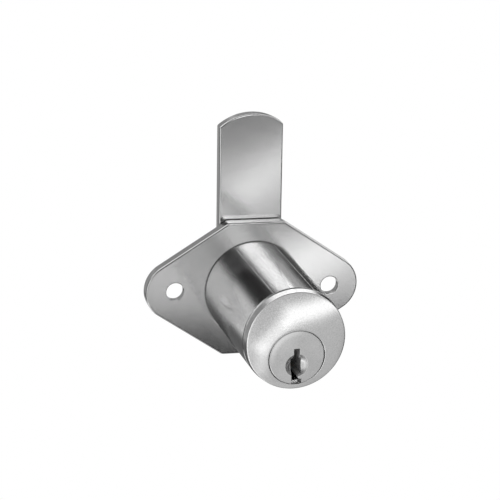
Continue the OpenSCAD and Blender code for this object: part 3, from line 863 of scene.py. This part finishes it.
# Studio: a grey tent, and cards in front of it that only the metal sees, as a photographer of plated metal
# sets them: bright ones are softboxes, dark ones are flags, and each lies over those named before it. A card
# that some pieces alone see adds its light and hides nothing. Azimuth runs from the viewer's side towards
# +X and elevation up from the horizon, in degrees. A radiance of 1 is white.
studio = {
    "floorDrop": 0.1, "floorSize": 4.0, "floorColour": "#e6e6e6", "centre": (0, -0.015, 0.005),
    "fill": 0.48, "radius": 0.5, "layer": 0.002, "cell": 2.5, "leastCells": 9, "nearGrid": (25, 17),
    "farCards": {
        # name: (azimuth from, to, elevation from, to, soft edge, radiance, the pieces that alone see it)
        "tent": (-185, 185, -88, 88, 2, 0.4),
        "topBox": (-180, 180, 62, 86, 8, 0.6),
        "backTopBox": (-185, -92, 40, 66, 8, 1.8),
        "backTopRight": (94, 185, 40, 66, 8, 1.7),
        "frontTopFlag": (-58, 92, 40, 78, 6, 0.25),
        "leftHigh": (-125, -58, 28, 42, 8, 0.65),
        "leftLow": (-125, -66, -40, 20, 8, 0.1),
        "lowLeftBox": (-120, 0, -64, -40, 6, 1.2),
        "lowRight": (0, 92, -64, -42, 6, 0.3),
        "backLow": (-196, -120, -50, -21, 8, 0.15),
        "backLeftGrey": (-177, -144, -19, 12, 8, 0.55, "barrel cover cap plug"),
        "backDark": (-176, -125, 14, 33, 5, 0.02),
        "backRightFlag": (130, 184, -14, 12, 6, 0.03),
        "backRightLow": (130, 172, -45, -15, 6, 0.25),
        "backRightSoft": (148, 165, 13, 40, 8, 0.2, "barrel cover cap plug"),
        "backKey": (164, 183, 16, 42, 5, 2.1, "barrel cover cap"),
        "frontGrey": (-12, 62, -48, 18, 6, 0.12),
        "leftBox": (-66, -19, -48, 13, 6, 1.15, "plate cap cam"),
        "frontUpper": (-60, 60, 13, 42, 5, 0.08),
        "rightHigh": (50, 92, 18, 42, 5, 0.6),
        "rightFlag": (60, 97, -45, 20, 4, 0.02),
        "rightBox": (97, 122, -62, 20, 5, 1.8),
        "rightTopBox": (97, 122, 20, 42, 5, 2.8),
        "dishBox": (-105, -48, -48, 13, 8, 1.1, "plug"),
        "edgeFill": (-180, -100, 13, 42, 8, 0.35, "plate cam cap plug"),
        "edgeBox": (-125, -58, 20, 60, 8, 0.7, "plate cam"),
        "bandBox": (122, 160, 19, 50, 6, 1.1, "cap"),
        "rearFill": (116, 186, -50, 8, 10, 0.6, "plate cam stop_washer lock_washer cam_screw"),
        "keyBox": (-2, 19, 17, 40, 5, 3.4, "plate cam"),
        "keyRight": (18, 40, 10, 40, 6, 0.7, "plate cam"),
        "barrelFill": (-70, 60, -45, 45, 10, 0.85, "barrel cover"),
        "barrelKey": (-10, 18, 12, 34, 10, 0.9, "barrel cover"),
    },
    "nearCards": {
        # name: (middle's X, Y and Z, length, width, soft edge, lean, radiance, the pieces that alone see it)
        # in millimetres and degrees
        "plateLow": (30, -100, -66, 64, 38, 14, 0, 0.02),
        "plateFill": (30, -99, -31, 100, 40, 14, 0, 0.88, "plate"),
        "streakBox": (49, -98, -28, 60, 19, 8, 32, 1.2, "plate"),
        "camFill": (29, -96, -12, 64, 46, 18, 0, 0.42, "cam"),
        "camBase": (30, -95.5, 0, 90, 90, 12, 0, 0.26, "cam"),
        "camBand": (28, -95, -9, 66, 13, 6, 38, 1.3, "cam"),
        "capFill": (25, -94, -30, 142, 150, 14, 0, 0.66, "cap"),
        "arcLow": (-9, -93, -42, 44, 20, 9, 86, 0.45, "cap"),
        "arcMid": (-3, -92, -16, 44, 20, 9, 50, 0.85, "cap"),
        "arcTop": (45, -91, 6, 88, 25, 10, 8, 1.15, "cap"),
        "plugFill": (20, -90, -30, 200, 140, 20, 0, 0.68, "plug"),
        "plugGlow": (8, -89, -14, 34, 20, 8, 45, 0.6, "plug"),
    },
}


def seersOf(card, count):
    # splits the names of the pieces that see the card, where it has them, from its numbers
    pieces = {**frame["nodes"], "plate": plate, "barrel": barrel, "cover": cover, "cap": cap, "plug": plug,
              "cam": cam}
    return card[:count], [pieces[key] for key in card[count].split()] if len(card) > count else []


def glowingCard(name, points, shape, cover, radiance, seenBy=()):
    # a card that only glossy rays see; "cover" runs from 0 at its rim to 1 where it is opaque
    mesh = bpy.data.meshes.new(name)
    mesh.from_pydata(points.tolist(), [], grid(*shape).tolist())
    mesh.attributes.new("cover", "FLOAT", "POINT").data.foreach_set("value", cover.ravel().astype(np.float32))
    card = bpy.data.objects.new(name, mesh)
    bpy.context.scene.collection.objects.link(card)
    material, tree = startMaterial(name)
    clear = addNode(tree, "ShaderNodeBsdfTransparent")
    fade = addNode(tree, "ShaderNodeAttribute", {"attribute_name": "cover"}).outputs["Fac"]
    glow = addNode(tree, "ShaderNodeEmission", {}, {
        "Color": fade if seenBy else (1, 1, 1, 1), "Strength": radiance})
    if seenBy:
        both = addNode(tree, "ShaderNodeAddShader", {}, {
            0: clear.outputs["BSDF"], 1: glow.outputs["Emission"]})
        seers = bpy.data.collections.new(name + "Seers")
        for piece in seenBy:
            seers.objects.link(piece)
        card.light_linking.receiver_collection = seers
    else:
        both = addNode(tree, "ShaderNodeMixShader", {}, {
            "Fac": fade, 1: clear.outputs["BSDF"], 2: glow.outputs["Emission"]})
    addNode(tree, "ShaderNodeOutputMaterial", {}, {"Surface": both.outputs["Shader"]})
    mesh.materials.append(material)
    card.visible_camera = card.visible_diffuse = card.visible_shadow = card.visible_transmission = False


def softEdge(u, v, feather):
    # 0 on the rim of a rectangle of samples, rising smoothly to 1 a feather's width inside
    depth = np.minimum(np.minimum(u - u[0], u[-1] - u)[:, None], np.minimum(v - v[0], v[-1] - v)[None])
    share = np.clip(depth / feather, 0, 1)
    return share * share * (3 - 2 * share)


def makeFarCards():
    # point (i, j) lies on the studio's ball at azimuth i and elevation j
    cell, least = studio["cell"], studio["leastCells"]
    for number, (name, card) in enumerate(studio["farCards"].items()):
        (a0, a1, e0, e1, feather, radiance), seenBy = seersOf(card, 6)
        azimuth, elevation = (
            np.linspace(low - feather / 2, high + feather / 2,
                        max(least, round((high - low + feather) / cell)))
            for low, high in ((a0, a1), (e0, e1)))
        aa, ee = (np.radians(v) for v in np.meshgrid(azimuth, elevation, indexing="ij"))
        out = np.stack([np.sin(aa) * np.cos(ee), -np.cos(aa) * np.cos(ee), np.sin(ee)], 2).reshape(-1, 3)
        points = np.array(studio["centre"]) + (studio["radius"] - studio["layer"] * number) * out
        cover = softEdge(azimuth, elevation, feather)
        glowingCard(name, points, (len(azimuth), len(elevation)), cover, radiance, seenBy)


def makeNearCards():
    # point (i, j) lies i along and j across a rectangle that leans in an upright plane
    for name, card in studio["nearCards"].items():
        (x, y, z, length, width, feather, leanDegrees, radiance), seenBy = seersOf(card, 8)
        u = np.linspace(-length / 2, length / 2, studio["nearGrid"][0])
        v = np.linspace(-width / 2, width / 2, studio["nearGrid"][1])
        uu, vv = np.meshgrid(u, v, indexing="ij")
        cosine, sine = math.cos(math.radians(leanDegrees)), math.sin(math.radians(leanDegrees))
        flat = np.stack([x + cosine * uu - sine * vv, y + 0 * uu, z + sine * uu + cosine * vv], 2)
        glowingCard(name, flat.reshape(-1, 3) / 1000, (len(u), len(v)), softEdge(u, v, feather), radiance,
                    seenBy)


def seenDirectly(tree):
    # 1 for rays from the camera, from a glossy surface or through glass, 0 for those that only light things
    path = addNode(tree, "ShaderNodeLightPath")
    first = addNode(tree, "ShaderNodeMath", {"operation": "MAXIMUM"}, {
        0: path.outputs["Is Camera Ray"], 1: path.outputs["Is Glossy Ray"]})
    return addNode(tree, "ShaderNodeMath", {"operation": "MAXIMUM"}, {
        0: first.outputs[0], 1: path.outputs["Is Transmission Ray"]}).outputs[0]


def makeFloor():
    half = studio["floorSize"] / 2
    z = cadLow[2] - studio["floorDrop"]
    mesh = bpy.data.meshes.new("floor")
    corners = [(-half, -half, z), (half, -half, z), (half, half, z), (-half, half, z)]
    mesh.from_pydata(corners, [], [(0, 1, 2, 3)])
    floor = bpy.data.objects.new("floor", mesh)
    floor.visible_glossy = False
    bpy.context.scene.collection.objects.link(floor)
    material, tree = startMaterial("paleFloor")
    matt = addNode(tree, "ShaderNodeBsdfDiffuse", {}, {"Color": hexColour(studio["floorColour"])})
    white = addNode(tree, "ShaderNodeEmission", {}, {"Color": (1, 1, 1, 1), "Strength": 1.0})
    path = addNode(tree, "ShaderNodeLightPath")
    both = addNode(tree, "ShaderNodeMixShader", {}, {
        "Fac": path.outputs["Is Camera Ray"], 1: matt.outputs["BSDF"], 2: white.outputs["Emission"]})
    addNode(tree, "ShaderNodeOutputMaterial", {}, {"Surface": both.outputs["Shader"]})
    mesh.materials.append(material)


def makeWorld():
    world = bpy.data.worlds.new("studio")
    bpy.context.scene.world = world
    world.use_nodes = True
    tree = world.node_tree
    tree.nodes.clear()
    soft = addNode(tree, "ShaderNodeBackground", {}, {"Color": (1, 1, 1, 1), "Strength": studio["fill"]})
    white = addNode(tree, "ShaderNodeBackground", {}, {"Color": (1, 1, 1, 1), "Strength": 1.0})
    mixed = addNode(tree, "ShaderNodeMixShader", {}, {
        "Fac": seenDirectly(tree), 1: soft.outputs["Background"], 2: white.outputs["Background"]})
    addNode(tree, "ShaderNodeOutputWorld", {}, {"Surface": mixed.outputs["Shader"]})


makeFarCards()
makeNearCards()
makeFloor()
makeWorld()
bpy.context.scene.view_settings.view_transform = "Standard"
print("studio made")
